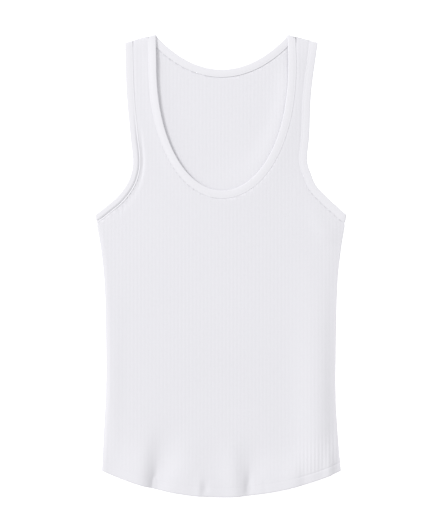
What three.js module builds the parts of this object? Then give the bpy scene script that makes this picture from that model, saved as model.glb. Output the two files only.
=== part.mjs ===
// A sleeveless tank top in white rib knit, lying flat on its back with its front up.
// Millimetres. X runs across the garment, Y from the hem up to the shoulders, Z is up.
// Heights along the garment are measured from the lowest point of the hem.
import * as THREE from "three";

// ---- Driving dimensions -------------------------------------------------------------------

const LENGTH = 640; // lowest point of the hem to the high point of the shoulder
const WALL = 1.4; // one layer of rib knit
const SEAM_GAP = 0.3; // clear space between two pieces that are sewn together
const HEM = { depth: 13, wall: 2.2, sweep: 36 }; // turned-up edge; sweep lifts its two corners
const BINDING = { width: 11, wall: 1.9, proud: 0.25, clearance: 0.5 }; // folded strip on each raw edge
const SHOULDER = { innerX: 88.5, outerX: 133.4, drop: 12 }; // seam on the fold at the top of a strap
const UNDERARM_HEIGHT = 389;

// Half widths of the body along the side seams, on the wearer's right (left here) and left.
const SIDE_SEAM = [
  { height: 36, left: 165, right: 165 },
  { height: 97, left: 162, right: 160 },
  { height: 150, left: 159.5, right: 157.7 },
  { height: 217, left: 159.5, right: 158.4 },
  { height: 295, left: 161.5, right: 160.4 },
  { height: 350, left: 167.5, right: 166.4 },
  { height: UNDERARM_HEIGHT, left: 175, right: 173.4 },
];

// Distance of each armhole's edge from the centre line, from the underarm up to the shoulder.
const ARMHOLE = [
  { height: UNDERARM_HEIGHT, left: 175, right: 173.4 },
  { height: 402.5, left: 158, right: 158.5 },
  { height: 415, left: 143.5, right: 145 },
  { height: 430, left: 132, right: 131 },
  { height: 446, left: 125, right: 124 },
  { height: 466, left: 122.5, right: 118.4 },
  { height: 500, left: 126, right: 121.5 },
  { height: 560, left: 131.3, right: 124.2 },
  { height: LENGTH - SHOULDER.drop, left: 133.5, right: 133.3 },
];

// Each neckline is a rounded scoop; a larger roundness fills out its lower corners.
const FRONT_NECK = { centreX: 1.5, halfWidth: 91, bottom: 423.4, scoopTop: 600, roundness: 2.2 };
const BACK_NECK = { centreX: 0.5, halfWidth: 91, bottom: 591, scoopTop: 638, roundness: 1.05 };
const NECK_TOP = { left: 90.5, right: 91.5 }; // where both necklines meet on the shoulder seam

// Soft ridges of the front: the valleys between them are its creases.
// footX and headX are its middle at the hem end and the upper end, foot and head their heights.
const RIDGES = [
  { name: "left hem flute", footX: -113, headX: -101, foot: 0, head: 105, halfWidth: 19, rise: 2.6 },
  { name: "middle hem flute", footX: -45, headX: -52, foot: 0, head: 120, halfWidth: 24, rise: 1.5 },
  { name: "small hem pucker", footX: -31, headX: -30, foot: 0, head: 34, halfWidth: 7, rise: 0.9 },
  { name: "right hem flute", footX: 19, headX: 12, foot: 0, head: 90, halfWidth: 15, rise: 2.0 },
  { name: "corner hem flute", footX: 98, headX: 108, foot: 0, head: 75, halfWidth: 20, rise: 1.8 },
  { name: "right side roll", footX: 137, headX: 134, foot: 10, head: 350, halfWidth: 15, rise: 1.7 },
  { name: "left side roll", footX: -146, headX: -143, foot: 60, head: 280, halfWidth: 11, rise: 0.9 },
  { name: "right underarm drag", footX: 150, headX: 118, foot: 352, head: 412, halfWidth: 12, rise: 1.2 },
];

const NECK_LIFT = { left: 1.9, right: 1.1, reach: 26 }; // the front neck edge stands off the back
const SEAM_ROLL = 13; // how far in from a side or shoulder seam the front reaches its full level
const HEM_FADE = 60; // height above the hem where the front has settled from the doubled cloth
const OPEN_LEVEL = 2 * BINDING.wall + BINDING.clearance - BINDING.proud; // outer face of the open front

// Mesh fineness
const COLUMNS = 12; // cells across each half of a panel
const ROW_MARKS = [0, 6.5, 13, 15, 26, 38, 52, 68, 88, 115, 150, 190, 235, 280, 322, 362]; // up the middle
const ARMHOLE_ROWS = 15; // cells along an armhole
const NECK_START = { front: 3, back: 7 }; // how far up the armhole its rows still cross the whole panel
const FOLD_STEPS = 5; // facets of a binding where it turns over a shoulder or under an arm

// ---- Small helpers ------------------------------------------------------------------------

const { lerp, smoothstep, clamp } = THREE.MathUtils;
const flat = (x, y) => new THREE.Vector2(x, y);
const sideName = (side) => (side < 0 ? "left" : "right");

// Half width from a table at a height, along a smooth curve through its rows.
function halfWidthAt(table, height, side) {
  const name = sideName(side);
  const upper = clamp(table.findIndex((row) => row.height >= height), 1, table.length - 1);
  const [a, b] = [table[upper - 1], table[upper]];
  const before = table[Math.max(upper - 2, 0)];
  const after = table[Math.min(upper + 1, table.length - 1)];
  const span = b.height - a.height;
  const t = clamp((height - a.height) / span, 0, 1);
  const slopeA = ((b[name] - before[name]) / (b.height - before.height)) * span;
  const slopeB = ((after[name] - a[name]) / (after.height - a.height)) * span;
  const ease = t * t * (3 - 2 * t);
  return lerp(a[name], b[name], ease) + slopeA * t * (1 - t) ** 2 - slopeB * t * t * (1 - t);
}

// Height of the hem's edge, lowest in the middle.
function hemHeight(x) {
  return HEM.sweep * (x / SIDE_SEAM[0].left) ** 2;
}

// Height of the shoulder seam, highest at the neck.
function shoulderHeight(x) {
  const share = (Math.abs(x) - SHOULDER.innerX) / (SHOULDER.outerX - SHOULDER.innerX);
  return LENGTH - SHOULDER.drop * share;
}

// Moves each point of a line sideways: a positive distance goes to its left.
function offsetLine(points, distance) {
  return points.map((point, i) => {
    const before = points[Math.max(i - 1, 0)];
    const after = points[Math.min(i + 1, points.length - 1)];
    const run = after.clone().sub(before).normalize();
    return flat(point.x - run.y * distance, point.y + run.x * distance);
  });
}

// ---- Edges --------------------------------------------------------------------------------

// One armhole from the underarm up to the shoulder, moved in from the edge by a distance.
function armholeLine(side, inset) {
  const curve = new THREE.SplineCurve(ARMHOLE.map((row) => flat(side * row[sideName(side)], row.height)));
  const line = offsetLine(curve.getSpacedPoints(ARMHOLE_ROWS), side * inset);
  const seamHeight = UNDERARM_HEIGHT - inset;
  line[0] = flat(side * halfWidthAt(SIDE_SEAM, seamHeight, side), seamHeight);
  line.at(-1).y = shoulderHeight(line.at(-1).x);
  return line;
}

// One half of a neckline from its lowest point up to the shoulder, moved out from the edge.
function neckLine(neck, side, inset, cells) {
  const steps = 24;
  const points = [];
  for (let i = 0; i <= steps; i++) {
    const turn = (i / steps) * (Math.PI / 2);
    const drop = (neck.scoopTop - neck.bottom) * Math.cos(turn) ** (2 / neck.roundness);
    points.push(flat(neck.centreX + side * neck.halfWidth * Math.sin(turn), neck.scoopTop - drop));
  }
  const topX = side * NECK_TOP[sideName(side)];
  points.push(flat(topX, shoulderHeight(topX)));
  const line = offsetLine(new THREE.SplineCurve(points).getSpacedPoints(cells), -side * inset);
  const seamTopX = topX + side * inset;
  line[0] = flat(neck.centreX, neck.bottom - inset);
  line[cells] = flat(seamTopX, shoulderHeight(seamTopX));
  return line;
}

// ---- Levels of the cloth ------------------------------------------------------------------

// Share of a ridge's rise at a place, soft at its sides and fading out at its upper end.
function ridgeShare(ridge, x, height) {
  const t = (height - ridge.foot) / (ridge.head - ridge.foot);
  const middle = lerp(ridge.footX, ridge.headX, clamp(t, 0, 1));
  const across = Math.exp(-(((x - middle) / ridge.halfWidth) ** 2));
  const foot = ridge.foot === 0 ? 1 : smoothstep(t, -0.1, 0.15);
  return across * foot * (1 - smoothstep(t, 0.25, 1));
}

// How much higher the front lies where both layers are doubled at the hem.
function hemRise(x, height) {
  return 2 * (HEM.wall - WALL) * (1 - smoothstep(height - hemHeight(x), HEM.depth + 3, HEM_FADE));
}

// How far the front stands off the back along its neck edge.
function neckRise(x, height) {
  const { centreX, halfWidth, scoopTop, bottom } = FRONT_NECK;
  const below = Math.max(scoopTop - height, 0) / (scoopTop - bottom);
  const away = Math.max(Math.hypot((x - centreX) / halfWidth, below) - 1, 0) * halfWidth;
  const lift = lerp(NECK_LIFT.left, NECK_LIFT.right, smoothstep(x, -60, 60));
  return lift * Math.exp(-((away / NECK_LIFT.reach) ** 2)) * (1 - smoothstep(height, LENGTH - 40, LENGTH));
}

// Outer face of the front where no seam holds it down.
function openFrontLevel(x, height) {
  let level = OPEN_LEVEL + neckRise(x, height) + hemRise(x, height);
  for (const ridge of RIDGES) level += ridge.rise * ridgeShare(ridge, x, height);
  return level;
}

// Outer face of the front panel, which comes down to the back along the side and shoulder seams.
function frontLevel(x, height) {
  const side = Math.sign(x) || 1;
  const seamSide = halfWidthAt(SIDE_SEAM, Math.max(height, SIDE_SEAM[0].height), side) - Math.abs(x);
  const fromSide = height < UNDERARM_HEIGHT - BINDING.width ? seamSide : SEAM_ROLL;
  const fromSeam = clamp(Math.min(fromSide, shoulderHeight(x) - height), 0, SEAM_ROLL);
  const share = Math.sin((fromSeam / SEAM_ROLL) * (Math.PI / 2));
  return lerp(2 * WALL + SEAM_GAP + hemRise(x, height), openFrontLevel(x, height), share);
}

// Thickness of a panel, doubled and stitched flat along the hem.
function panelWall(x, height) {
  return height - hemHeight(x) < HEM.depth + SEAM_GAP ? HEM.wall : WALL;
}

// ---- Closed solids ------------------------------------------------------------------------

function solid(name, positions, indices) {
  const geometry = new THREE.BufferGeometry();
  geometry.setAttribute("position", new THREE.Float32BufferAttribute(positions, 3));
  geometry.setIndex(indices);
  geometry.computeVertexNormals();
  const material = new THREE.MeshStandardMaterial({ color: 0xebeaef, roughness: 0.92, metalness: 0 });
  const mesh = new THREE.Mesh(geometry, material);
  mesh.name = name;
  return mesh;
}

// A wall of cloth over a net of four-sided cells; narrow side faces close its open edges.
function clothWall(name, { points, cells }, upperLevel, lowerLevel) {
  const upper = points.flatMap((p) => [p.x, p.y, upperLevel(p.x, p.y)]);
  const lower = points.flatMap((p) => [p.x, p.y, lowerLevel(p.x, p.y)]);
  const under = points.length;
  const indices = [];
  const edges = new Map();
  for (const cell of cells) {
    const [a, b, c, d] = cell;
    indices.push(a, b, c, a, c, d);
    indices.push(under + a, under + c, under + b, under + a, under + d, under + c);
    cell.forEach((from, i) => edges.set(`${from},${cell[(i + 1) % 4]}`, [from, cell[(i + 1) % 4]]));
  }
  for (const [from, to] of edges.values()) {
    if (edges.has(`${to},${from}`)) continue;
    indices.push(from, under + from, under + to, from, under + to, to);
  }
  return solid(name, [...upper, ...lower], indices);
}

// A closed ring lofted through sections of four corners each.
function clothRing(name, sections) {
  const positions = sections.flat().flatMap((corner) => corner.toArray());
  const indices = [];
  sections.forEach((section, i) => {
    const here = i * 4;
    const next = ((i + 1) % sections.length) * 4;
    for (let c = 0; c < 4; c++) {
      const d = (c + 1) % 4;
      indices.push(here + c, next + c, next + d, here + c, next + d, here + d);
    }
  });
  return solid(name, positions, indices);
}

// ---- Panels -------------------------------------------------------------------------------

// The net of a panel: rows that cross it up to the neckline, then one strap on each side.
function panelNet(neck, neckStart) {
  const points = [];
  const cells = [];
  const inset = BINDING.width + SEAM_GAP;
  const strapCells = ARMHOLE_ROWS - neckStart;
  const underarm = UNDERARM_HEIGHT - inset;
  const topMark = ROW_MARKS.at(-1);
  const neckBottom = neck.bottom - inset;
  const armholes = { "-1": armholeLine(-1, inset), 1: armholeLine(1, inset) };

  // Cells between an edge point and a middle point, as point numbers from left to right.
  const addHalf = (outer, middle, side) => {
    const half = [];
    for (let i = 0; i <= COLUMNS; i++) {
      const out = 1 - i / COLUMNS;
      half.push(points.push(flat(lerp(middle.x, outer.x, out), lerp(middle.y, outer.y, out ** 2))) - 1);
    }
    return side < 0 ? half : half.reverse();
  };
  const joinRows = (lower, upper) => {
    for (let i = 0; i + 1 < lower.length; i++) cells.push([lower[i], lower[i + 1], upper[i + 1], upper[i]]);
  };

  const rows = ROW_MARKS.map((mark) => {
    const share = Math.max(mark - HEM.depth - 2, 0) / (topMark - HEM.depth - 2);
    const height = mark + lerp(HEM.sweep, underarm - topMark, share);
    const edge = (side) => flat(side * halfWidthAt(SIDE_SEAM, height, side), height);
    return { left: edge(-1), right: edge(1), middle: flat(0, mark) };
  });
  for (let k = 1; k <= neckStart; k++) {
    const middle = flat((neck.centreX * k) / neckStart, lerp(topMark, neckBottom, k / neckStart));
    rows.push({ left: armholes[-1][k], right: armholes[1][k], middle });
  }

  let below = null;
  for (const row of rows) {
    const left = addHalf(row.left, row.middle, -1);
    const right = addHalf(row.right, row.middle, 1);
    right[0] = left.at(-1);
    const whole = [...left, ...right.slice(1)];
    if (below) joinRows(below.whole, whole);
    below = { whole, "-1": left, 1: right };
  }
  for (const side of [-1, 1]) {
    const neckline = neckLine(neck, side, inset, strapCells);
    let lower = below[side];
    for (let k = 1; k <= strapCells; k++) {
      const upper = addHalf(armholes[side][neckStart + k], neckline[k], side);
      joinRows(lower, upper);
      lower = upper;
    }
  }
  return dropUnused(points, cells);
}

// Leaves out the points that no cell uses.
function dropUnused(points, cells) {
  const used = [...new Set(cells.flat())].sort((a, b) => a - b);
  const place = new Map(used.map((old, i) => [old, i]));
  return { points: used.map((old) => points[old]), cells: cells.map((cell) => cell.map((old) => place.get(old))) };
}

// ---- Bindings -----------------------------------------------------------------------------

// One section of a binding: outer face then inner face, each from the raw edge to the seam.
function bindingSection(edge, seam, outer, inner) {
  const corner = (p, z) => new THREE.Vector3(p.x, p.y, z);
  return [corner(edge, outer(edge)), corner(seam, outer(seam)), corner(seam, inner(seam)), corner(edge, inner(edge))];
}

const frontOuter = (p) => openFrontLevel(p.x, p.y) + BINDING.proud;
const frontInner = (p) => frontOuter(p) - BINDING.wall;
const frontSection = ([edge, seam]) => bindingSection(edge, seam, frontOuter, frontInner);
const backSection = ([edge, seam]) => bindingSection(edge, seam, () => 0, () => BINDING.wall);

// Sections that carry a binding round a fold, from one layer to the other; outward is level.
function foldSections(from, to, outward) {
  const sections = [];
  for (let step = 1; step < FOLD_STEPS; step++) {
    const share = step / FOLD_STEPS;
    const out = Math.sin(share * Math.PI);
    const swing = (1 - Math.cos(share * Math.PI)) / 2;
    sections.push(from.map((start, c) => {
      const end = to[c];
      const reach = (Math.abs(start.z - end.z) / 2) * out;
      const across = lerp(start.x, end.x, share) + outward.x * reach;
      return new THREE.Vector3(across, lerp(start.y, end.y, share) + outward.y * reach, lerp(start.z, end.z, swing));
    }));
  }
  return sections;
}

// Direction out of the garment across a shoulder seam, and how far a fold bulges there.
const shoulderOut = (side) => flat(side * SHOULDER.drop, SHOULDER.outerX - SHOULDER.innerX).normalize();
const foldReach = (OPEN_LEVEL + BINDING.proud) / 2;

// Draws an end pair of a binding back along its own line, so that the fold ends at the outline.
function drawBack(pairs, index, neighbour, outward) {
  pairs[index] = pairs[index].map((point, c) => {
    const run = pairs[neighbour][c].clone().sub(point).normalize();
    return point.clone().addScaledVector(run, -foldReach / run.dot(outward));
  });
}

// A binding is a ring: along one layer, over a fold, back along the other layer and over again.
function bindingRing(name, frontPairs, backPairs, outwards) {
  for (const pairs of [frontPairs, backPairs]) {
    const last = pairs.length - 1;
    drawBack(pairs, 0, 1, outwards.first);
    drawBack(pairs, last, last - 1, outwards.last);
  }
  const front = frontPairs.map(frontSection);
  const back = backPairs.map(backSection).reverse();
  const sections = [
    ...front,
    ...foldSections(front.at(-1), back[0], outwards.last),
    ...back,
    ...foldSections(back.at(-1), front[0], outwards.first),
  ];
  return clothRing(name, outwards.reversed ? sections.reverse() : sections);
}

function armholeBinding(side) {
  const edge = armholeLine(side, 0);
  const seam = armholeLine(side, BINDING.width);
  const pairs = () => edge.map((point, k) => [point.clone(), seam[k].clone()]);
  const outwards = { first: flat(side, 0), last: shoulderOut(side), reversed: side < 0 };
  return bindingRing(`armhole_binding_${sideName(side)}`, pairs(), pairs(), outwards);
}

function neckBinding() {
  const pairs = (neck, neckStart) => {
    const cells = ARMHOLE_ROWS - neckStart;
    const half = (side) => {
      const edge = neckLine(neck, side, 0, cells);
      return neckLine(neck, side, BINDING.width, cells).map((seam, k) => [edge[k], seam]);
    };
    return [...half(-1).reverse(), ...half(1).slice(1)];
  };
  const outwards = { first: shoulderOut(-1), last: shoulderOut(1), reversed: true };
  const front = pairs(FRONT_NECK, NECK_START.front);
  return bindingRing("neck_binding", front, pairs(BACK_NECK, NECK_START.back), outwards);
}

// ---- The garment --------------------------------------------------------------------------

const panels = new THREE.Group();
panels.add(
  clothWall("front_panel", panelNet(FRONT_NECK, NECK_START.front), frontLevel,
    (x, height) => frontLevel(x, height) - panelWall(x, height)),
  clothWall("back_panel", panelNet(BACK_NECK, NECK_START.back), panelWall, () => 0),
);

const bindings = new THREE.Group();
bindings.add(neckBinding(), armholeBinding(-1), armholeBinding(1));

const tankTop = new THREE.Group();
tankTop.add(panels, bindings);

// The origin is on the surface it lies on, under the middle of its outline.
const outline = new THREE.Box3().setFromObject(tankTop);
tankTop.position.set(-(outline.min.x + outline.max.x) / 2, -(outline.min.y + outline.max.y) / 2, 0);

export default tankTop;
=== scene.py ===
"""A sleeveless tank top in white rib knit, laid flat on a pale floor with its front up.

The garment is sewn from a front and a back panel of rib knit, a binding round the neck and one
round each armhole, and a hem turned up and cover-stitched on both panels. Outline tables are in
millimetres: x runs across the garment from its centre line and height runs up from the lowest
point of the hem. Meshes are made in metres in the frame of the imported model.
"""

import logging
import math
from dataclasses import dataclass, field
from enum import Enum
from typing import Callable, Iterable, Sequence

import bmesh
import bpy
import numpy as np
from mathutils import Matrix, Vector


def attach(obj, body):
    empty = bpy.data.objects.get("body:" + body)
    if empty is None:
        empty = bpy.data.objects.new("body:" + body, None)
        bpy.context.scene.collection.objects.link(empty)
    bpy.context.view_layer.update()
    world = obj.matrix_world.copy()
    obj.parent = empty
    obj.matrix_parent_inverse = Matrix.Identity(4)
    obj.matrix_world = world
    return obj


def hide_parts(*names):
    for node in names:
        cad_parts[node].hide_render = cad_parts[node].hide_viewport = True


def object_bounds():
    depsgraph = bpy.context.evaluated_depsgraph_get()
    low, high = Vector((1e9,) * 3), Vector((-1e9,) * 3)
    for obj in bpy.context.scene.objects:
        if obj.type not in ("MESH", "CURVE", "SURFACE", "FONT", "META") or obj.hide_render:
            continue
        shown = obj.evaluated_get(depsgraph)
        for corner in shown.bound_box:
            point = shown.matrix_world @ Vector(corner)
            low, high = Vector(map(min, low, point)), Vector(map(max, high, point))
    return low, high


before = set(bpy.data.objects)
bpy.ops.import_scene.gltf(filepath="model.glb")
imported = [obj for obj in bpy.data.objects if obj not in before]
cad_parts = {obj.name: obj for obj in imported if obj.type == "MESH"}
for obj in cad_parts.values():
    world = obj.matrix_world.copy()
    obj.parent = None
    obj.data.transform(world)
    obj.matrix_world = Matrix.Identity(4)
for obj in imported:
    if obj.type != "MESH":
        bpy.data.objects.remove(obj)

LOG = logging.getLogger("tank_top")
MM = 0.001
CAD_LOW, CAD_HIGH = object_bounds()

Level = Callable[[np.ndarray, np.ndarray], np.ndarray]
ToFrame = Callable[[np.ndarray, np.ndarray, np.ndarray], np.ndarray]


def smooth(value: np.ndarray, low: float, high: float) -> np.ndarray:
    """Soft step from 0 at low to 1 at high.

    Args:
        value: where to read the step.
        low: value at which it starts.
        high: value at which it ends.

    Returns:
        The step's height at each value.
    """
    t = np.clip((np.asarray(value, float) - low) / (high - low), 0.0, 1.0)
    return t * t * (3.0 - 2.0 * t)


class Side(Enum):
    """The two sides of the garment as seen from above, hem nearest."""

    LEFT = -1
    RIGHT = 1


@dataclass(frozen=True)
class EdgeRow:
    """One row of an outline table: a height and the distance of each edge from the centre line."""

    height: float
    left: float
    right: float

    def reach(self, side: Side) -> float:
        """Distance from the centre line on one side."""
        return self.left if side is Side.LEFT else self.right


@dataclass(frozen=True)
class Scoop:
    """A rounded neckline; a larger roundness fills out its lower corners."""

    centre_x: float
    half_width: float
    bottom: float
    scoop_top: float
    roundness: float


@dataclass(frozen=True)
class Ridge:
    """A soft ridge of the cloth, whose neighbouring valleys are creases.

    A negative rise makes a trough. lean sharpens the flank that faces away from the light, and
    spread widens the ridge towards its head.
    """

    name: str
    foot_x: float
    head_x: float
    foot: float
    head: float
    half_width: float
    rise: float
    lean: float = 0.0
    spread: float = 0.0

    def height(self, x: np.ndarray, height: np.ndarray) -> np.ndarray:
        """How far the ridge lifts the cloth.

        Args:
            x: places across the garment.
            height: heights above the hem.

        Returns:
            The lift in millimetres at each place.
        """
        t = (height - self.foot) / (self.head - self.foot)
        middle = self.foot_x + (self.head_x - self.foot_x) * np.clip(t, 0.0, 1.0)
        across = (x - middle) / (self.half_width * (1 + self.spread * np.clip(t, 0.0, 1.0)))
        across = np.where(across > 0, across * (1.0 + self.lean), across)
        start = 1.0 if self.foot == 0 else smooth(t, -0.1, 0.15)
        return self.rise * np.exp(-across**2) * start * (1.0 - smooth(t, 0.25, 1.0))


def spline(points: np.ndarray, spacing: float) -> np.ndarray:
    """A smooth line through points, resampled evenly.

    Args:
        points: the points, one row each.
        spacing: distance between the points of the result.

    Returns:
        The points of the smooth line.
    """
    padded = np.vstack([2 * points[0] - points[1], points, 2 * points[-1] - points[-2]])
    pieces = []
    for p0, p1, p2, p3 in zip(padded, padded[1:], padded[2:], padded[3:]):
        t = np.linspace(0.0, 1.0, 24, endpoint=False)[:, None]
        pieces.append(
            0.5 * (2 * p1 + (p2 - p0) * t + (2 * p0 - 5 * p1 + 4 * p2 - p3) * t**2
                   + (3 * p1 - p0 - 3 * p2 + p3) * t**3)
        )
    line = np.vstack([*pieces, points[-1:]])
    return resampled(line, spacing)


def resampled(line: np.ndarray, spacing: float) -> np.ndarray:
    """The same line with evenly spaced points.

    Args:
        line: points along the line.
        spacing: about how far apart the new points are.

    Returns:
        The new points, from the first to the last.
    """
    along = np.concatenate([[0.0], np.cumsum(np.linalg.norm(np.diff(line, axis=0), axis=1))])
    at = np.linspace(0.0, along[-1], max(2, round(along[-1] / spacing) + 1))
    return np.stack([np.interp(at, along, line[:, k]) for k in range(line.shape[1])], axis=1)


def moved_aside(line: np.ndarray, distance: float) -> np.ndarray:
    """A line moved sideways in its plane.

    Args:
        line: points along the line.
        distance: how far, positive to its left.

    Returns:
        The moved points.
    """
    run = np.gradient(line, axis=0)
    run /= np.linalg.norm(run, axis=1)[:, None]
    return line + distance * np.stack([-run[:, 1], run[:, 0]], axis=1)


def distance_to(line: np.ndarray, x: np.ndarray, height: np.ndarray) -> np.ndarray:
    """Shortest distance from each place to a line.

    Args:
        line: points of the line.
        x: places across the garment.
        height: heights above the hem.

    Returns:
        The distances, in the shape of x.
    """
    places = np.stack([np.ravel(x), np.ravel(height)], axis=1)
    nearest = np.full(len(places), np.inf)
    for start, end in zip(line, line[1:]):
        run = end - start
        share = np.clip((places - start) @ run / float(run @ run), 0.0, 1.0)
        nearest = np.minimum(nearest, np.linalg.norm(places - start - share[:, None] * run, axis=1))
    return nearest.reshape(np.shape(x))


@dataclass(frozen=True)
class Cut:
    """The garment's outline and sewn sizes, in millimetres."""

    length: float = 640.0
    wall: float = 1.4
    hem_depth: float = 13.0
    hem_wall: float = 2.2
    hem_sweep: float = 36.0
    binding_width: float = 11.0
    binding_wall: float = 1.9
    binding_proud: float = 0.1
    seam_gap: float = 0.3
    shoulder_inner: float = 88.5
    shoulder_outer: float = 133.4
    shoulder_drop: float = 12.0
    underarm: float = 389.0
    neck_top_left: float = 90.5
    neck_top_right: float = 91.5
    step: float = 2.2
    front_neck: Scoop = Scoop(1.5, 91.0, 423.4, 600.0, 2.2)
    back_neck: Scoop = Scoop(0.5, 91.0, 591.0, 638.0, 1.05)
    side_seam: tuple[EdgeRow, ...] = (
        EdgeRow(36.0, 165.0, 165.0),
        EdgeRow(97.0, 162.0, 160.0),
        EdgeRow(150.0, 159.5, 157.7),
        EdgeRow(217.0, 159.5, 158.4),
        EdgeRow(295.0, 161.5, 160.4),
        EdgeRow(350.0, 167.5, 166.4),
        EdgeRow(389.0, 175.0, 173.4),
    )
    armhole: tuple[EdgeRow, ...] = (
        EdgeRow(389.0, 175.0, 173.4),
        EdgeRow(402.5, 158.0, 158.5),
        EdgeRow(415.0, 143.5, 145.0),
        EdgeRow(430.0, 132.0, 131.0),
        EdgeRow(446.0, 125.0, 124.0),
        EdgeRow(466.0, 122.5, 118.4),
        EdgeRow(500.0, 126.0, 121.5),
        EdgeRow(560.0, 131.3, 124.2),
        EdgeRow(628.0, 133.5, 133.3),
    )

    def hem_height(self, x: np.ndarray) -> np.ndarray:
        """Height of the hem's edge, lowest in the middle."""
        return self.hem_sweep * (np.asarray(x, float) / self.side_seam[0].left) ** 2

    def shoulder_height(self, x: np.ndarray) -> np.ndarray:
        """Height of the shoulder seam, highest at the neck."""
        across = (np.abs(x) - self.shoulder_inner) / (self.shoulder_outer - self.shoulder_inner)
        return self.length - self.shoulder_drop * across

    def table_line(self, table: Sequence[EdgeRow], side: Side) -> np.ndarray:
        """The smooth line through one side of an outline table."""
        rows = np.array([[side.value * row.reach(side), row.height] for row in table])
        return spline(rows, self.step)

    def armhole_line(self, side: Side, inset: float = 0.0) -> np.ndarray:
        """One armhole from the underarm to the shoulder.

        Args:
            side: which armhole.
            inset: how far into the cloth the line lies from the edge.

        Returns:
            Its points, from the side seam to the shoulder seam.
        """
        line = moved_aside(self.table_line(self.armhole, side), side.value * inset)
        seam = self.table_line(self.side_seam, side)
        start = self.underarm - inset
        line[0] = np.interp(start, seam[:, 1], seam[:, 0]), start
        line[-1, 1] = self.shoulder_height(line[-1, 0])
        return line

    def neck_line(self, scoop: Scoop, side: Side, inset: float = 0.0) -> np.ndarray:
        """One half of a neckline from its lowest point to the shoulder.

        Args:
            scoop: the neckline.
            side: which half.
            inset: how far into the cloth the line lies from the edge.

        Returns:
            Its points, from the middle to the shoulder seam.
        """
        turn = np.linspace(0.0, math.pi / 2, 40)
        x = scoop.centre_x + side.value * scoop.half_width * np.sin(turn)
        drop = (scoop.scoop_top - scoop.bottom) * np.cos(turn).clip(0) ** (2 / scoop.roundness)
        top_x = side.value * (self.neck_top_left if side is Side.LEFT else self.neck_top_right)
        curve = np.stack([x, scoop.scoop_top - drop], axis=1)
        points = np.vstack([curve, [top_x, self.shoulder_height(top_x)]])
        line = moved_aside(resampled(points, self.step), -side.value * inset)
        line[0] = scoop.centre_x, scoop.bottom - inset
        end_x = top_x + side.value * inset
        line[-1] = end_x, self.shoulder_height(end_x)
        return line

    def half_width(self, x: np.ndarray, height: np.ndarray, inset: float = 0.0) -> np.ndarray:
        """Distance of the outer edge from the centre line on the side where x lies.

        Args:
            x: places across the garment, for their sign.
            height: heights above the hem.
            inset: width of the armhole binding that is left off.

        Returns:
            The half width at each height.
        """
        widths = {}
        for side in Side:
            seam = self.table_line(self.side_seam, side)
            seam = seam[seam[:, 1] < self.underarm - inset - 0.01]
            edge = np.vstack([seam, self.armhole_line(side, inset)])
            widths[side] = np.interp(height, edge[:, 1], np.abs(edge[:, 0]))
        return np.where(x < 0, widths[Side.LEFT], widths[Side.RIGHT])

    def neck_height(self, scoop: Scoop, x: np.ndarray, inset: float = 0.0) -> np.ndarray:
        """Height of a neckline at each x.

        Args:
            scoop: the neckline.
            x: places across the garment.
            inset: how far into the cloth the line lies from the edge.

        Returns:
            The heights, far above the garment outside the scoop.
        """
        left = self.neck_line(scoop, Side.LEFT, inset)
        right = self.neck_line(scoop, Side.RIGHT, inset)
        line = np.vstack([left[::-1], right[1:]])
        far = 2 * self.length
        return np.interp(x, np.maximum.accumulate(line[:, 0]), line[:, 1], left=far, right=far)

    def inside(self, scoop: Scoop, x: np.ndarray, height: np.ndarray) -> np.ndarray:
        """Whether each place is on a panel, tucked just under the bindings.

        Args:
            scoop: the panel's neckline.
            x: places across the garment.
            height: heights above the hem.

        Returns:
            True on the panel, for each place.
        """
        tuck = self.binding_width - 0.6
        on_width = np.abs(x) <= self.half_width(x, height, tuck)
        on_length = (height >= self.hem_height(x) - 1e-6) & (height <= self.shoulder_height(x))
        return on_width & on_length & (height <= self.neck_height(scoop, x, tuck))


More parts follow.
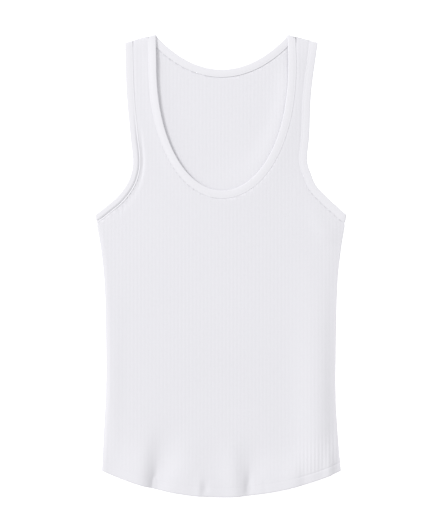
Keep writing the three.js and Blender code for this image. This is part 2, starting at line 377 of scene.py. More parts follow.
@dataclass(frozen=True)
class Drape:
    """How high each layer of the cloth lies, in millimetres above the floor."""

    cut: Cut
    neck_lift_left: float = 1.6
    neck_lift_right: float = 1.8
    neck_lift_low: float = 1.1
    neck_reach_left: float = 12.0
    neck_reach_right: float = 26.0
    seam_roll_left: float = 6.0
    seam_roll_right: float = 18.0
    shoulder_roll: float = 13.0
    hem_swell: float = 2.4
    back_rise_left: float = 0.7
    back_rise_right: float = 2.1
    back_rise_reach: float = 13.0
    hem_fade: float = 60.0
    clearance: float = 0.5
    ridges: tuple[Ridge, ...] = (
        Ridge("left hem flute", -113, -101, 0, 105, 19, 2.6, 0.5),
        Ridge("middle hem flute", -45, -52, 0, 120, 24, 1.5),
        Ridge("small hem pucker", -31, -30, 0, 34, 7, 0.9, 0.8),
        Ridge("right hem flute", 19, 12, 0, 90, 15, 2.0, 0.4),
        Ridge("corner hem flute", 98, 108, 0, 75, 20, 1.8, 0.3),
        Ridge("right side roll", 133, 130, 10, 390, 26, 4.0, 0.35),
        Ridge("left side roll", -150, -146, 50, 330, 11, 0.9),
        Ridge("right underarm drag", 150, 118, 352, 412, 12, 1.2),
        Ridge("left hem crease", -93, -74, 0, 120, 9, -3.6, -0.3, 1.6),
        Ridge("hem pucker crease", -22, -22, 6, 30, 5, -1.1),
        Ridge("middle hem crease", 41, 42, 0, 95, 10, -2.6, -0.3, 0.8),
        Ridge("small hem crease", 61, 60, 0, 34, 5, -0.5),
        Ridge("right hem crease", 117, 108, 2, 60, 7, -1.1),
        Ridge("left crease core", -95, -89, 2, 52, 5, -2.2),
        Ridge("middle crease core", 37, 39, 4, 46, 5, -1.9),
        Ridge("corner roll", 149, 151, 12, 84, 9, 3.2),
    )

    @property
    def open_level(self) -> float:
        """Outer face of the front where no seam, hem or ridge changes it."""
        cut = self.cut
        return 2 * cut.binding_wall + self.clearance - cut.binding_proud

    def hem_rise(self, x: np.ndarray, height: np.ndarray) -> np.ndarray:
        """How much higher the front lies where both layers are doubled at the hem.

        Args:
            x: places across the garment.
            height: heights above the hem.

        Returns:
            The rise in millimetres.
        """
        cut = self.cut
        above = height - cut.hem_height(x)
        return 2 * (cut.hem_wall - cut.wall) * (1 - smooth(above, cut.hem_depth + 3, self.hem_fade))

    def neck_radius(self, x: np.ndarray, height: np.ndarray) -> np.ndarray:
        """Distance from the middle of the front scoop as a share of its edge.

        Args:
            x: places across the garment.
            height: heights above the hem.

        Returns:
            The share, 1 on the edge.
        """
        scoop = self.cut.front_neck
        below = np.maximum(scoop.scoop_top - height, 0) / (scoop.scoop_top - scoop.bottom)
        return np.hypot((x - scoop.centre_x) / scoop.half_width, below)

    def neck_rise(self, x: np.ndarray, height: np.ndarray) -> np.ndarray:
        """How far the front stands off the back along its neck edge.

        Args:
            x: places across the garment.
            height: heights above the hem.

        Returns:
            The lift in millimetres.
        """
        away = np.maximum(self.neck_radius(x, height) - 1, 0) * self.cut.front_neck.half_width
        lift = self.neck_lift_left + (self.neck_lift_right - self.neck_lift_left) * smooth(x, -60, 60)
        low = (1 - smooth(height, self.cut.front_neck.bottom, 500)) * smooth(x, -70, -20)
        lift = lift + (self.neck_lift_low - lift) * low
        reach = self.neck_reach_left + (self.neck_reach_right - self.neck_reach_left) * smooth(x, -60, 60)
        fade = 1 - smooth(height, self.cut.length - 40, self.cut.length)
        return lift * np.exp(-((away / reach) ** 2)) * fade

    def open_front(self, x: np.ndarray, height: np.ndarray) -> np.ndarray:
        """Outer face of the front where no seam holds it down.

        Args:
            x: places across the garment.
            height: heights above the hem.

        Returns:
            Its level above the floor.
        """
        level = self.open_level + self.neck_rise(x, height) + self.hem_rise(x, height)
        level = level + self.hem_swell * (1 - smooth(height, 20, 165)) * (1 - smooth(np.abs(x), 125, 160))
        for ridge in self.ridges:
            level = level + ridge.height(x, height)
        return level

    def front(self, x: np.ndarray, height: np.ndarray) -> np.ndarray:
        """Outer face of the front panel, down to the back at the side and shoulder seams.

        Args:
            x: places across the garment.
            height: heights above the hem.

        Returns:
            Its level above the floor.
        """
        cut = self.cut
        from_side = cut.half_width(x, np.maximum(height, cut.side_seam[0].height)) - np.abs(x)
        from_side = from_side / np.where(x < 0, self.seam_roll_left, self.seam_roll_right)
        from_side = np.where(height < cut.underarm - cut.binding_width, from_side, 1.0)
        from_shoulder = (cut.shoulder_height(x) - height) / self.shoulder_roll
        share = np.sin(np.clip(np.minimum(from_side, from_shoulder), 0, 1) * math.pi / 2)
        seam = 2 * cut.wall + cut.seam_gap + self.hem_rise(x, height)
        level = seam + (self.open_front(x, height) - seam) * share
        above = height - cut.hem_height(x)
        touching = 2 * (cut.wall + (cut.hem_wall - cut.wall) * (1 - smooth(above, cut.hem_depth, 20))) + 0.1
        return touching + np.logaddexp(0.0, (level - touching) / 0.3) * 0.3

    def back_inner(self, x: np.ndarray, height: np.ndarray) -> np.ndarray:
        """Inner face of the back panel, raised at and beyond the front neck edge.

        Args:
            x: places across the garment.
            height: heights above the hem.

        Returns:
            Its level above the floor.
        """
        cut = self.cut
        doubled = height - cut.hem_height(x) < cut.hem_depth
        inside = np.clip((1 - self.neck_radius(x, height)) * cut.front_neck.half_width, 0, 30)
        rise = self.back_rise_left + (self.back_rise_right - self.back_rise_left) * smooth(x, -62, 10)
        rise = rise * np.exp(-((inside / self.back_rise_reach) ** 2))
        rise = rise * smooth(height, 395, 425) * (1 - smooth(height, 560, 625))
        return np.where(doubled, cut.hem_wall, cut.wall) + rise


@dataclass(frozen=True)
class RibKnit:
    """The ribs of the knit as a shape: rounded upright ribs with narrower grooves between them."""

    pitch: float = 5.1
    relief: float = 0.08
    columns_per_rib: int = 6

    def wave(self, x: np.ndarray) -> np.ndarray:
        """Height of the ribs from 0 in a groove to the full relief on a rib."""
        turn = np.cos(2 * math.pi * x / self.pitch)
        return self.relief * (0.5 + 0.5 * np.sign(turn) * np.abs(turn) ** 0.8)


@dataclass
class Net:
    """Points on the flat cloth and the cells between them."""

    points: np.ndarray
    cells: list[tuple[int, ...]]

    @property
    def area(self) -> float:
        """Flat area of the cells in square metres."""
        total = 0.0
        for cell in self.cells:
            x, y = self.points[list(cell)].T
            total += 0.5 * float(np.dot(x, np.roll(y, -1)) - np.dot(y, np.roll(x, -1)))
        return abs(total) * MM * MM


def mesh_object(name: str, points: np.ndarray, faces: Iterable[Sequence[int]]) -> bpy.types.Object:
    """A smooth-shaded mesh object at the origin.

    Args:
        name: name of the piece.
        points: its points in metres.
        faces: its faces as point numbers.

    Returns:
        The object, linked to the scene.
    """
    mesh = bpy.data.meshes.new(name)
    mesh.from_pydata(points.tolist(), [], [list(face) for face in faces])
    mesh.validate()
    mesh.update()
    mesh.polygons.foreach_set("use_smooth", [True] * len(mesh.polygons))
    made = bpy.data.objects.new(name, mesh)
    bpy.context.scene.collection.objects.link(made)
    return made


@dataclass
class Panel:
    """One panel of rib knit as a thin closed shell with its hem turned up."""

    name: str
    node: str
    cut: Cut
    rib: RibKnit
    scoop: Scoop
    outer: Level
    inner: Level
    row_step: float = 6.0
    hem_rows: tuple[float, ...] = (0, 0.7, 2, 4.5, 8, 10.5, 11.6, 12.3, 13, 13.9, 15.2, 17.5, 21, 25.5)

    def grid(self) -> tuple[np.ndarray, np.ndarray]:
        """Places of all grid points, as arrays with a row for each height."""
        step = self.rib.pitch / self.rib.columns_per_rib
        reach = max(row.reach(side) for row in self.cut.side_seam for side in Side)
        count = math.ceil(reach / step) + 1
        x = np.arange(-count, count + 1) * step
        body = np.arange(self.hem_rows[-1] + self.row_step, self.cut.length + self.row_step, self.row_step)
        marks = np.concatenate([self.hem_rows, body])
        x, mark = np.meshgrid(x, marks)
        height = mark + self.cut.hem_height(x) * (1 - smooth(mark, 40, 330))
        return x, height

    def net(self) -> Net:
        """The grid trimmed to the panel's outline."""
        x, height = self.grid()
        kept = self.cut.inside(self.scoop, x, height)
        rows, columns = x.shape
        points = np.stack([x.ravel(), height.ravel()], axis=1)
        crossings: dict[tuple[int, int], int] = {}
        pairs = []
        flat_kept = kept.ravel()
        numbers = np.arange(rows * columns).reshape(rows, columns)
        for a, b in ((numbers[:, :-1], numbers[:, 1:]), (numbers[:-1], numbers[1:])):
            mixed = flat_kept[a] != flat_kept[b]
            pairs += list(zip(a[mixed].tolist(), b[mixed].tolist()))
        ends = np.array([(a, b) if flat_kept[a] else (b, a) for a, b in pairs])
        low, high = points[ends[:, 0]], points[ends[:, 1]]
        for _ in range(18):
            middle = (low + high) / 2
            on = self.cut.inside(self.scoop, middle[:, 0], middle[:, 1])[:, None]
            low, high = np.where(on, middle, low), np.where(on, high, middle)
        for i, pair in enumerate(pairs):
            crossings[pair] = len(points) + i
        points = np.vstack([points, low])
        cells = []
        for r in range(rows - 1):
            for c in range(columns - 1):
                ring = [numbers[r, c], numbers[r, c + 1], numbers[r + 1, c + 1], numbers[r + 1, c]]
                if not flat_kept[ring].any():
                    continue
                cell = []
                for here, there in zip(ring, ring[1:] + ring[:1]):
                    if flat_kept[here]:
                        cell.append(int(here))
                    if flat_kept[here] != flat_kept[there]:
                        cell.append(crossings[tuple(sorted((int(here), int(there))))])
                if len(cell) >= 3:
                    cells.append(tuple(cell))
        used = sorted({point for cell in cells for point in cell})
        place = {old: new for new, old in enumerate(used)}
        return Net(points[used], [tuple(place[p] for p in cell) for cell in cells])

    def build(self, to_frame: ToFrame) -> tuple[bpy.types.Object, Net]:
        """Makes the panel's shell.

        Args:
            to_frame: turns garment millimetres into metres in the model's frame.

        Returns:
            The object and the flat net that it was made from.
        """
        net = self.net()
        x, height = net.points.T
        upper = to_frame(x, height, self.outer(x, height))
        lower = to_frame(x, height, self.inner(x, height))
        count = len(net.points)
        faces = list(net.cells)
        faces += [tuple(count + p for p in reversed(cell)) for cell in net.cells]
        edges = {(cell[i - 1], cell[i]) for cell in net.cells for i in range(len(cell))}
        faces += [(a, count + a, count + b, b) for a, b in sorted(edges) if (b, a) not in edges]
        return mesh_object(self.name, np.vstack([upper, lower]), faces), net


@dataclass
class Binding:
    """A folded strip sewn round a raw edge, as one closed ring over both layers."""

    name: str
    node: str
    cut: Cut
    drape: Drape
    front: tuple[np.ndarray, np.ndarray]
    back: tuple[np.ndarray, np.ndarray]
    first_out: np.ndarray
    last_out: np.ndarray
    rounding: float = 0.85
    seam_rounding: float = 0.12
    deep_groove: float = 0.0
    stitch_share: float = 0.82
    fold_steps: int = 10
    across: tuple[float, ...] = (0, 0.02, 0.06, 0.13, 0.25, 0.4, 0.55, 0.68, 0.76, 0.82, 0.88, 0.94, 0.98, 1)

    def crown(self, place: np.ndarray, share: np.ndarray | float) -> np.ndarray:
        """How the strip's face swells between its edges and dips along its stitches.

        Args:
            place: where on the garment.
            share: how far across the strip, from its edge to its seam.

        Returns:
            The height over a flat strip.
        """
        depth = 0.12 + self.deep_groove * (1 - smooth(place[:, 1], 480, 540))
        return 0.2 * np.sin(share * math.pi) - depth * np.exp(-(((share - self.stitch_share) / 0.08) ** 2))

    def section(self, edge: np.ndarray, seam: np.ndarray, is_front: bool) -> np.ndarray:
        """One section of the strip: outer face from edge to seam, then inner face back again.

        Args:
            edge: the place on the garment's edge.
            seam: the place on the seam.
            is_front: whether it lies on the front layer.

        Returns:
            Its points, each with x, height and level.
        """
        cut = self.cut
        share = np.array(self.across)
        place = edge + (seam - edge) * share[:, None]
        size = np.where(share < 0.5, self.rounding, self.seam_rounding)
        from_end = np.minimum(share, 1 - share) * cut.binding_width
        round_off = size * (1 - np.sqrt(1 - (1 - np.clip(from_end / size, 0, 1)) ** 2))
        shape = self.crown(place, share)
        if is_front:
            outer = self.drape.open_front(place[:, 0], place[:, 1]) + cut.binding_proud
            inner = outer - cut.binding_wall + round_off
            outer = outer - round_off + shape
        else:
            outer = round_off
            inner = cut.binding_wall - round_off + shape
        out = np.column_stack([place, outer])
        back = np.column_stack([place, inner])[::-1]
        return np.vstack([out, back[1:-1]])

    def drawn_back(self, pair: tuple[np.ndarray, np.ndarray]) -> tuple[np.ndarray, np.ndarray]:
        """The pair of lines with their ends drawn back so that the folds end at the outline."""
        reach = (self.drape.open_level + self.cut.binding_proud) / 2
        lines = []
        for line in pair:
            line = line.copy()
            for end, neighbour, out in ((0, 2, self.first_out), (-1, -3, self.last_out)):
                run = line[neighbour] - line[end]
                run /= np.linalg.norm(run)
                line[end] = line[end] - run * reach / float(run @ out)
            lines.append(np.delete(line, [1, len(line) - 2], axis=0))
        return lines[0], lines[1]

    def fold(self, start: np.ndarray, end: np.ndarray, out: np.ndarray) -> list[np.ndarray]:
        """Sections that carry the strip round a fold from one layer to the other.

        Args:
            start: the last section before the fold.
            end: the first section after it.
            out: level direction out of the garment.

        Returns:
            The sections between the two.
        """
        made = []
        for step in range(1, self.fold_steps):
            share = step / self.fold_steps
            reach = np.abs(start[:, 2] - end[:, 2]) / 2 * math.sin(share * math.pi)
            swing = (1 - math.cos(share * math.pi)) / 2
            flat = start[:, :2] + (end[:, :2] - start[:, :2]) * share + reach[:, None] * out
            made.append(np.column_stack([flat, start[:, 2] + (end[:, 2] - start[:, 2]) * swing]))
        return made

    def build(self, to_frame: ToFrame) -> bpy.types.Object:
        """Makes the ring.

        Args:
            to_frame: turns garment millimetres into metres in the model's frame.

        Returns:
            The object.
        """
        front = [self.section(e, s, True) for e, s in zip(*self.drawn_back(self.front))]
        back = [self.section(e, s, False) for e, s in zip(*self.drawn_back(self.back))][::-1]
        sections = [*front, *self.fold(front[-1], back[0], self.last_out)]
        sections += [*back, *self.fold(back[-1], front[0], self.first_out)]
        around, count = len(sections[0]), len(sections)
        points = np.vstack(sections)
        faces = []
        for i in range(count):
            here, there = i * around, (i + 1) % count * around
            for c in range(around):
                d = (c + 1) % around
                faces.append((here + c, here + d, there + d, there + c))
        made = mesh_object(self.name, to_frame(*points.T), faces)
        recalculate_normals(made)
        return made

    @property
    def length(self) -> float:
        """Length of the strip along its middle, in metres."""
        total = 0.0
        for edge, seam in (self.front, self.back):
            middle = (edge + seam) / 2
            total += float(np.linalg.norm(np.diff(middle, axis=0), axis=1).sum())
        return total * MM


def recalculate_normals(piece: bpy.types.Object) -> None:
    """Turns all faces of a closed mesh outwards."""
    mesh = bmesh.new()
    mesh.from_mesh(piece.data)
    bmesh.ops.recalc_face_normals(mesh, faces=mesh.faces)
    mesh.to_mesh(piece.data)
    mesh.free()


class Sock:
    """A shader socket that can be used in arithmetic; each operator adds a Math node."""

    def __init__(self, graph: "Graph", output: bpy.types.NodeSocket) -> None:
        """Wraps an output socket of a graph."""
        self.graph = graph
        self.output = output

    def _math(self, operation: str, first: "Sock | float", second: "Sock | float") -> "Sock":
        """One Math node on two values."""
        return self.graph.node("ShaderNodeMath", {"operation": operation}, [first, second])

    def __add__(self, other: "Sock | float") -> "Sock":
        """Sum."""
        return self._math("ADD", self, other)

    __radd__ = __add__

    def __sub__(self, other: "Sock | float") -> "Sock":
        """Difference."""
        return self._math("SUBTRACT", self, other)

    def __rsub__(self, other: "Sock | float") -> "Sock":
        """Difference, reflected."""
        return self._math("SUBTRACT", other, self)

    def __mul__(self, other: "Sock | float") -> "Sock":
        """Product."""
        return self._math("MULTIPLY", self, other)

    __rmul__ = __mul__

    def sine(self) -> "Sock":
        """Sine of the value."""
        return self._math("SINE", self, 0.0)

    def absolute(self) -> "Sock":
        """Value without its sign."""
        return self._math("ABSOLUTE", self, 0.0)


class Graph:
    """The node tree of one material."""

    def __init__(self, name: str) -> None:
        """Makes a material with only its shader and output."""
        self.material = bpy.data.materials.new(name)
        self.material.use_nodes = True
        self.tree = self.material.node_tree
        self.shader = next(n for n in self.tree.nodes if n.type == "BSDF_PRINCIPLED")

    def node(self, kind: str, settings: dict | None = None, inputs: dict | list | None = None,
             output: int | str = 0) -> Sock:
        """Adds a node.

        Args:
            kind: type of the node.
            settings: its own properties, set first.
            inputs: values or links for its sockets, by name or in order.
            output: which of its outputs to return.

        Returns:
            The chosen output.
        """
        made = self.tree.nodes.new(kind)
        for key, value in (settings or {}).items():
            setattr(made, key, value)
        entries = inputs.items() if isinstance(inputs, dict) else enumerate(inputs or [])
        for key, value in entries:
            self.feed(made.inputs[key], value)
        return Sock(self, made.outputs[output])

    def feed(self, socket: bpy.types.NodeSocket, value: object) -> None:
        """Links a wrapped socket, or sets a constant."""
        if isinstance(value, Sock):
            self.tree.links.new(value.output, socket)
        else:
            socket.default_value = value

    def set(self, **values: object) -> None:
        """Sets or links sockets of the shader; underscores stand for spaces."""
        for key, value in values.items():
            self.feed(self.shader.inputs[key.replace("_", " ")], value)


@dataclass(frozen=True)
class KnitFinish:
    """Matt cotton knit: rows of small loops, a little fibre fuzz and slow changes of shade."""

    name: str
    colour: tuple[float, float, float]
    shade: tuple[float, float, float]
    roughness: float
    loop_width: float
    loop_height: float
    loop_depth: float
    sheen: float
    fuzz_scale: float = 900.0
    shade_scale: float = 9.0
    bump_strength: float = 0.55

    def make(self) -> bpy.types.Material:
        """Builds the material."""
        graph = Graph(self.name)
        place = graph.node("ShaderNodeTexCoord", output="Object")
        split = graph.node("ShaderNodeSeparateXYZ", inputs=[place]).output.node.outputs
        x, y = Sock(graph, split[0]), Sock(graph, split[1])
        turns = 2 * math.pi
        column = (x * (turns / self.loop_width)).sine()
        slant = column.absolute() * 1.6
        loops = (y * (turns / self.loop_height) + slant).sine() * column.absolute()
        fine = {"Vector": place, "Scale": self.fuzz_scale, "Detail": 3.0}
        broad = {"Vector": place, "Scale": self.shade_scale, "Detail": 2.0}
        fuzz = graph.node("ShaderNodeTexNoise", inputs=fine)
        slow = graph.node("ShaderNodeTexNoise", inputs=broad)
        height = loops * 0.5 + fuzz * 0.6
        relief = {"Strength": self.bump_strength, "Distance": self.loop_depth, "Height": height}
        bump = graph.node("ShaderNodeBump", inputs=relief, output="Normal")
        mix = graph.node(
            "ShaderNodeMix",
            {"data_type": "RGBA"},
            {0: slow * 0.5 + fuzz * 0.2 + loops * 0.08, 6: (*self.shade, 1.0), 7: (*self.colour, 1.0)},
            output=2,
        )
        graph.set(Base_Color=mix, Roughness=slow * 0.08 + (self.roughness - 0.04), Normal=bump)
        graph.set(Sheen_Weight=self.sheen, Sheen_Roughness=0.5, Specular_IOR_Level=0.25)
        return graph.material


@dataclass(frozen=True)
class ThreadFinish:
    """Spun polyester sewing thread."""

    name: str = "sewing_thread"
    colour: tuple[float, float, float] = (0.80, 0.795, 0.83)

    def make(self) -> bpy.types.Material:
        """Builds the material."""
        graph = Graph(self.name)
        place = graph.node("ShaderNodeTexCoord", output="Object")
        twist = graph.node("ShaderNodeTexNoise", inputs={"Vector": place, "Scale": 2500.0, "Detail": 1.0})
        mix = graph.node(
            "ShaderNodeMix",
            {"data_type": "RGBA"},
            {0: twist, 6: tuple(0.9 * c for c in self.colour) + (1.0,), 7: (*self.colour, 1.0)},
            output=2,
        )
        graph.set(Base_Color=mix, Roughness=0.6)
        return graph.material


@dataclass(frozen=True)
class StitchRow:
    """A row of stitches of one length along lines that lie on the cloth."""

    name: str
    pitch: float = 0.0030
    length: float = 0.0021
    radius: float = 0.00015

    def tree(self) -> bpy.types.GeometryNodeTree:
        """Builds the node tree that lays stitches along a curve."""
        tree = bpy.data.node_groups.new(self.name + "_tree", "GeometryNodeTree")
        sockets = tree.interface
        sockets.new_socket("Geometry", in_out="INPUT", socket_type="NodeSocketGeometry")
        for name in ("Pitch", "Stitch length", "Stitch radius"):
            sockets.new_socket(name, in_out="INPUT", socket_type="NodeSocketFloat")
        sockets.new_socket("Thread", in_out="INPUT", socket_type="NodeSocketMaterial")
        sockets.new_socket("Geometry", in_out="OUTPUT", socket_type="NodeSocketGeometry")
        nodes, link = tree.nodes, tree.links.new
        start, end = nodes.new("NodeGroupInput"), nodes.new("NodeGroupOutput")
        points = nodes.new("GeometryNodeCurveToPoints")
        points.mode = "LENGTH"
        stitch = nodes.new("GeometryNodeMeshCylinder")
        stitch.inputs["Vertices"].default_value = 6
        turn = nodes.new("FunctionNodeAlignRotationToVector")
        turn.axis = "Z"
        place = nodes.new("GeometryNodeInstanceOnPoints")
        real = nodes.new("GeometryNodeRealizeInstances")
        dress = nodes.new("GeometryNodeSetMaterial")
        link(start.outputs["Geometry"], points.inputs["Curve"])
        link(start.outputs["Pitch"], points.inputs["Length"])
        link(start.outputs["Stitch length"], stitch.inputs["Depth"])
        link(start.outputs["Stitch radius"], stitch.inputs["Radius"])
        link(points.outputs["Tangent"], turn.inputs["Vector"])
        link(points.outputs["Points"], place.inputs["Points"])
        link(stitch.outputs["Mesh"], place.inputs["Instance"])
        link(turn.outputs["Rotation"], place.inputs["Rotation"])
        link(place.outputs["Instances"], real.inputs["Geometry"])
        link(real.outputs["Geometry"], dress.inputs["Geometry"])
        link(start.outputs["Thread"], dress.inputs["Material"])
        link(dress.outputs["Geometry"], end.inputs["Geometry"])
        return tree

    def build(self, lines: Sequence[np.ndarray], thread: bpy.types.Material) -> bpy.types.Object:
        """Lays the stitches.

        Args:
            lines: points of each line in the model's frame, in metres.
            thread: material of the thread.

        Returns:
            One mesh that holds all the stitches.
        """
        curve = bpy.data.curves.new(self.name + "_path", "CURVE")
        curve.dimensions = "3D"
        for line in lines:
            run = curve.splines.new("POLY")
            run.points.add(len(line) - 1)
            run.points.foreach_set("co", np.column_stack([line, np.ones(len(line))]).ravel())
        carrier = bpy.data.objects.new(self.name + "_path", curve)
        bpy.context.scene.collection.objects.link(carrier)
        tree = self.tree()
        modifier = carrier.modifiers.new("stitches", "NODES")
        modifier.node_group = tree
        values = {"Pitch": self.pitch, "Stitch length": self.length, "Stitch radius": self.radius}
        values["Thread"] = thread
        for item in tree.interface.items_tree:
            if item.in_out == "INPUT" and item.name in values:
                modifier[item.identifier] = values[item.name]
        bpy.context.view_layer.update()
        evaluated = carrier.evaluated_get(bpy.context.evaluated_depsgraph_get())
        mesh = bpy.data.meshes.new_from_object(evaluated)
        made = bpy.data.objects.new(self.name, mesh)
        mesh.name = self.name
        bpy.context.scene.collection.objects.link(made)
        carrier.modifiers.remove(modifier)
        bpy.data.objects.remove(carrier)
        return made


@dataclass
class TankTop:
    """The whole garment: two panels, three bindings and their rows of stitches."""

    cut: Cut = field(default_factory=Cut)
    rib: RibKnit = field(default_factory=RibKnit)
    stitch_sunk: float = 0.09
    hem_stitch_sunk: float = 0.07
    left_armhole_groove: float = 1.45
    seam_dip: float = 0.22

    def __post_init__(self) -> None:
        """Works out the drape and where the garment lies in the model's frame."""
        self.drape = Drape(self.cut)
        self.hem_y = CAD_LOW.y
        top = self.cut.side_seam[-1]
        self.shift_x = (top.left - top.right) / 2 * MM
        self.rib_knit = KnitFinish(
            "rib_knit", (0.745, 0.738, 0.775), (0.715, 0.71, 0.745), 0.92, 0.00128, 0.0011, 0.00012, 0.12
        ).make()
        self.binding_knit = KnitFinish(
            "binding_knit", (0.765, 0.758, 0.79), (0.74, 0.735, 0.77), 0.9, 0.0009, 0.0009, 0.00008, 0.12
        ).make()
        self.thread = ThreadFinish().make()

    def to_frame(self, x: np.ndarray, height: np.ndarray, level: np.ndarray) -> np.ndarray:
        """Garment millimetres as metres in the model's frame."""
        return np.stack([x * MM + self.shift_x, height * MM + self.hem_y, level * MM], axis=1)

    def pressed(self, x: np.ndarray, height: np.ndarray) -> np.ndarray:
        """Share of the ribs' relief: pressed flat at the hem, and open at the lower right.

        Args:
            x: places across the garment.
            height: heights above the hem.

        Returns:
            The share of the relief.
        """
        above = height - self.cut.hem_height(x)
        corner = smooth(x, 95, 118) * (1 - smooth(above, 30, 75))
        open_share = smooth(above, self.cut.hem_depth - 1, self.cut.hem_depth + 5)
        return (0.25 + 0.75 * open_share) * (1 + 3.5 * corner)

    def stitch_grooves(self, x: np.ndarray, height: np.ndarray) -> np.ndarray:
        """Depth of the two grooves that the hem's stitching pulls into the cloth.

        Args:
            x: places across the garment.
            height: heights above the hem.

        Returns:
            The depth in millimetres.
        """
        above = height - self.cut.hem_height(x)
        rows = (self.cut.hem_depth - 0.7, self.cut.hem_depth - 5.0)
        firm = 1 + 3.0 * smooth(x, 90, 115)
        depths = (0.12, 0.05)
        return firm * sum(depth * np.exp(-((above - row) ** 2)) for row, depth in zip(rows, depths))

    def hem_round(self, x: np.ndarray, height: np.ndarray) -> np.ndarray:
        """How far the fold at the hem's edge is rounded off."""
        above = np.clip(height - self.cut.hem_height(x), 0, 1.0)
        return 0.8 * (1 - np.sqrt(1 - (1 - above) ** 2))

    def hem_wall(self, x: np.ndarray, height: np.ndarray) -> np.ndarray:
        """Thickness of a panel.

        Args:
            x: places across the garment.
            height: heights above the hem.

        Returns:
            The thickness in millimetres.
        """
        above = height - self.cut.hem_height(x)
        doubled = 1 - smooth(above, self.cut.hem_depth, self.cut.hem_depth + 1.5)
        return self.cut.wall + (self.cut.hem_wall - self.cut.wall) * doubled

    def front_cloth(self, x: np.ndarray, height: np.ndarray) -> np.ndarray:
        """Lie of the front panel with its ribs, crease and seam dip.

        Args:
            x: places across the garment.
            height: heights above the hem.

        Returns:
            The level of its face before stitching.
        """
        relief = (self.rib.wave(x) - self.rib.relief / 2) * self.pressed(x, height)
        level = self.drape.front(x, height) + relief - self.armhole_crease(x, height)
        return level - self.tuck(self.cut.front_neck, x, height)

    def front_outer(self, x: np.ndarray, height: np.ndarray) -> np.ndarray:
        """Outer face of the front panel with its ribs."""
        grooves = self.stitch_grooves(x, height) + self.hem_round(x, height)
        return self.front_cloth(x, height) - grooves

    def tuck(self, scoop: Scoop, x: np.ndarray, height: np.ndarray) -> np.ndarray:
        """How far a panel dips where it goes in under its bindings.

        Args:
            scoop: the panel's neckline.
            x: places across the garment.
            height: heights above the hem.

        Returns:
            The dip in millimetres.
        """
        dip = np.zeros(np.shape(x))
        high = height > self.cut.underarm - 30
        width = self.cut.binding_width
        lines = [self.neck_pair(scoop)[1], *(self.cut.armhole_line(side, width) for side in Side)]
        away = np.min([distance_to(line, x[high], height[high]) for line in lines], axis=0)
        dip[high] = self.seam_dip * (1 - smooth(away, 0.5, 3.0))
        return dip

    def armhole_crease(self, x: np.ndarray, height: np.ndarray) -> np.ndarray:
        """Depth of the crease that follows the left armhole's seam.

        Args:
            x: places across the garment.
            height: heights above the hem.

        Returns:
            The depth in millimetres.
        """
        away = distance_to(self.cut.armhole_line(Side.LEFT), x, height)
        deep = 1.2 * np.exp(-(((away - self.cut.binding_width - 3.4) / 2.0) ** 2))
        return deep * (1 - smooth(height, 470, 530)) * smooth(height, 385, 400)

    def front_inner(self, x: np.ndarray, height: np.ndarray) -> np.ndarray:
        """Inner face of the front panel."""
        inner = self.front_cloth(x, height) - self.hem_wall(x, height)
        return inner + self.hem_round(x, height)

    def back_inner(self, x: np.ndarray, height: np.ndarray) -> np.ndarray:
        """Inner face of the back panel, which shows inside the neck.

        Args:
            x: places across the garment.
            height: heights above the hem.

        Returns:
            Its level above the floor.
        """
        relief = self.rib.wave(x + self.rib.pitch * 0.3) * self.pressed(x, height)
        level = self.drape.back_inner(x, height) - self.rib.relief / 2 + relief - self.hem_round(x, height)
        return level - self.tuck(self.cut.back_neck, x, height)

    def back_outer(self, x: np.ndarray, height: np.ndarray) -> np.ndarray:
        """Outer face of the back panel, which lies on the floor.

        Args:
            x: places across the garment.
            height: heights above the hem.

        Returns:
            Its level above the floor.
        """
        relief = self.rib.wave(x + self.rib.pitch * 0.3) * self.pressed(x, height)
        rise = self.drape.back_inner(x, height) - np.where(
            height - self.cut.hem_height(x) < self.cut.hem_depth, self.cut.hem_wall, self.cut.wall
        )
        return relief * 0.8 + rise + self.hem_round(x, height) + 0.5 * self.stitch_grooves(x, height)

    def panels(self) -> list[tuple[Panel, bpy.types.Object, Net]]:
        """Makes and dresses both panels."""
        made = []
        for name, node, scoop, outer, inner in (
            ("front_rib_knit", "front_panel", self.cut.front_neck, self.front_outer, self.front_inner),
            ("back_rib_knit", "back_panel", self.cut.back_neck, self.back_inner, self.back_outer),
        ):
            panel = Panel(name, node, self.cut, self.rib, scoop, outer, inner)
            piece, net = panel.build(self.to_frame)
            piece.data.materials.append(self.rib_knit)
            made.append((panel, piece, net))
        return made

    def shoulder_out(self, side: Side) -> np.ndarray:
        """Level direction out of the garment across a shoulder seam."""
        run = self.cut.shoulder_outer - self.cut.shoulder_inner
        across = np.array([side.value * self.cut.shoulder_drop, run])
        return across / np.linalg.norm(across)

    def neck_pair(self, scoop: Scoop) -> tuple[np.ndarray, np.ndarray]:
        """Edge and seam of the neck binding on one layer, from left shoulder to right."""
        lines = []
        for inset in (0.0, self.cut.binding_width):
            left = self.cut.neck_line(scoop, Side.LEFT, inset)
            right = self.cut.neck_line(scoop, Side.RIGHT, inset)
            lines.append(np.vstack([left[::-1], right[1:]]))
        return lines[0], lines[1]

    def bindings(self) -> list[tuple[Binding, bpy.types.Object]]:
        """Makes and dresses the three bindings."""
        front, back = self.neck_pair(self.cut.front_neck), self.neck_pair(self.cut.back_neck)
        ends = self.shoulder_out(Side.LEFT), self.shoulder_out(Side.RIGHT)
        specs = [("neck_band", "neck_binding", front, back, *ends)]
        for side in Side:
            pair = (self.cut.armhole_line(side), self.cut.armhole_line(side, self.cut.binding_width))
            label = side.name.lower()
            specs.append((f"armhole_band_{label}", f"armhole_binding_{label}", pair, pair,
                          np.array([side.value, 0.0]), self.shoulder_out(side)))
        made = []
        for name, node, front, back, first, last in specs:
            binding = Binding(name, node, self.cut, self.drape, front, back, first, last)
            binding.deep_groove = self.left_armhole_groove if name == "armhole_band_left" else 0.0
            piece = binding.build(self.to_frame)
            piece.data.materials.append(self.binding_knit)
            made.append((binding, piece))
        return made

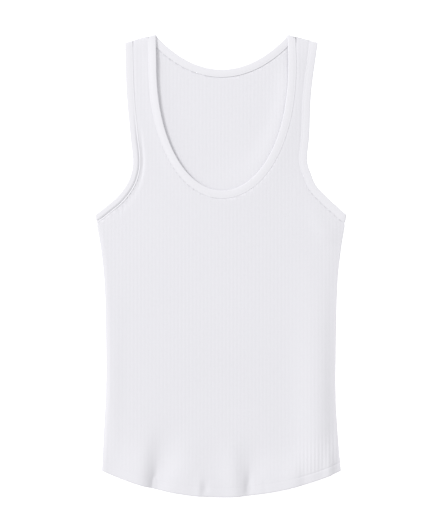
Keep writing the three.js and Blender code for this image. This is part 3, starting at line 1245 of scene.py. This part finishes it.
    def stitches(self, bindings: Sequence[Binding]) -> list[tuple[str, bpy.types.Object]]:
        """Makes the rows of stitches.

        Args:
            bindings: the bindings that carry stitches.

        Returns:
            For each row the node that it is sewn to, and its mesh.
        """
        made = []
        for binding in bindings:
            lines = []
            for (edge, seam), is_front in ((binding.front, True), (binding.back, False)):
                line = (edge + (seam - edge) * binding.stitch_share)[2:-2]
                if is_front:
                    level = self.drape.open_front(*line.T) + self.cut.binding_proud
                else:
                    level = np.full(len(line), self.cut.binding_wall)
                level = level + binding.crown(line, binding.stitch_share) - self.stitch_sunk
                lines.append(self.to_frame(*line.T, level))
            made.append((binding.node, StitchRow(binding.name + "_stitches").build(lines, self.thread)))
        x = np.linspace(-self.cut.side_seam[0].left + 2, self.cut.side_seam[0].right - 2, 220)
        lines = []
        for up in (self.cut.hem_depth - 0.7, self.cut.hem_depth - 5.0):
            height = self.cut.hem_height(x) + up
            lines.append(self.to_frame(x, height, self.front_outer(x, height) - self.hem_stitch_sunk))
        made.append(("front_panel", StitchRow("hem_stitches").build(lines, self.thread)))
        return made

    def build(self) -> None:
        """Makes every piece, hangs it under the root body, hides the imported parts that it replaces and
        logs its size.
        """
        panels = self.panels()
        bindings = self.bindings()
        stitches = self.stitches([binding for binding, _ in bindings])
        for node, piece in stitches:
            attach(piece, "root")
            LOG.info("%s: %d faces", piece.name, len(piece.data.polygons))
        length = (self.cut.length + self.cut.hem_depth) * MM
        sewn = {node: [piece for owner, piece in stitches if owner == node] for node, _ in stitches}
        for panel, piece, net in panels:
            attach(piece, "root")
            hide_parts(panel.node)
            below = ["back_rib_knit"] if panel.node == "front_panel" else ["floor"]
            sewn.get(panel.node, [])
            faces = len(piece.data.polygons)
            LOG.info("%s: %d faces, cut from %.4f square metres", piece.name, faces, net.area)
        for binding, piece in bindings:
            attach(piece, "root")
            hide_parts(binding.node)
            binding.length
            sewn.get(binding.node, [])
            LOG.info("%s: %d faces, %.3f m long", piece.name, len(piece.data.polygons), binding.length)


@dataclass
class Studio:
    """A pale floor, a soft key light from the upper left, a dim fill and a camera straight above."""

    floor_size: float = 6.0
    floor_glow: float = 0.4
    floor_gap: float = 0.0004
    key_power: float = 185.0
    key_place: tuple[float, float, float] = (-4.3, 2.6, 3.4)
    key_size: float = 1.7
    sky: float = 0.86
    view_height: float = 0.7335
    lens: float = 100.0
    sensor: float = 36.0

    def floor(self) -> None:
        """Lays the floor just under the cloth."""
        half = self.floor_size / 2
        corners = ((-half, -half), (half, -half), (half, half), (-half, half))
        points = np.array([(x, y, -self.floor_gap) for x, y in corners])
        made = mesh_object("floor", points, [(0, 1, 2, 3)])
        graph = Graph("floor_paint")
        graph.set(Base_Color=(0.97, 0.97, 0.97, 1.0), Roughness=0.9, Specular_IOR_Level=0.1)
        graph.set(Emission_Color=(1.0, 1.0, 1.0, 1.0), Emission_Strength=self.floor_glow)
        made.data.materials.append(graph.material)

    def light(self) -> None:
        """Sets the key light and the even light from all round."""
        data = bpy.data.lights.new("key", "AREA")
        data.shape, data.size, data.energy = "DISK", self.key_size, self.key_power
        lamp = bpy.data.objects.new("key", data)
        lamp.location = self.key_place
        lamp.rotation_euler = (-Vector(self.key_place)).to_track_quat("-Z", "Y").to_euler()
        bpy.context.scene.collection.objects.link(lamp)
        world = bpy.data.worlds.new("even_light")
        world.use_nodes = True
        world.node_tree.nodes["Background"].inputs["Color"].default_value = (1.0, 1.0, 1.0, 1.0)
        world.node_tree.nodes["Background"].inputs["Strength"].default_value = self.sky
        bpy.context.scene.world = world
        bpy.context.scene.view_settings.view_transform = "Standard"

    def camera(self) -> None:
        """Hangs the camera over the middle of the garment, looking straight down."""
        data = bpy.data.cameras.new("camera")
        data.lens, data.sensor_width = self.lens, self.sensor
        made = bpy.data.objects.new("camera", data)
        distance = self.view_height * self.lens / self.sensor
        made.location = (-0.0003, 0.0007, distance)
        bpy.context.scene.collection.objects.link(made)
        bpy.context.scene.camera = made


def main() -> None:
    """Builds the stage, the camera and the garment."""
    logging.basicConfig(level=logging.INFO, format="%(name)s: %(message)s")
    studio = Studio()
    studio.floor()
    studio.light()
    studio.camera()
    TankTop().build()


if __name__ == "__main__":
    main()
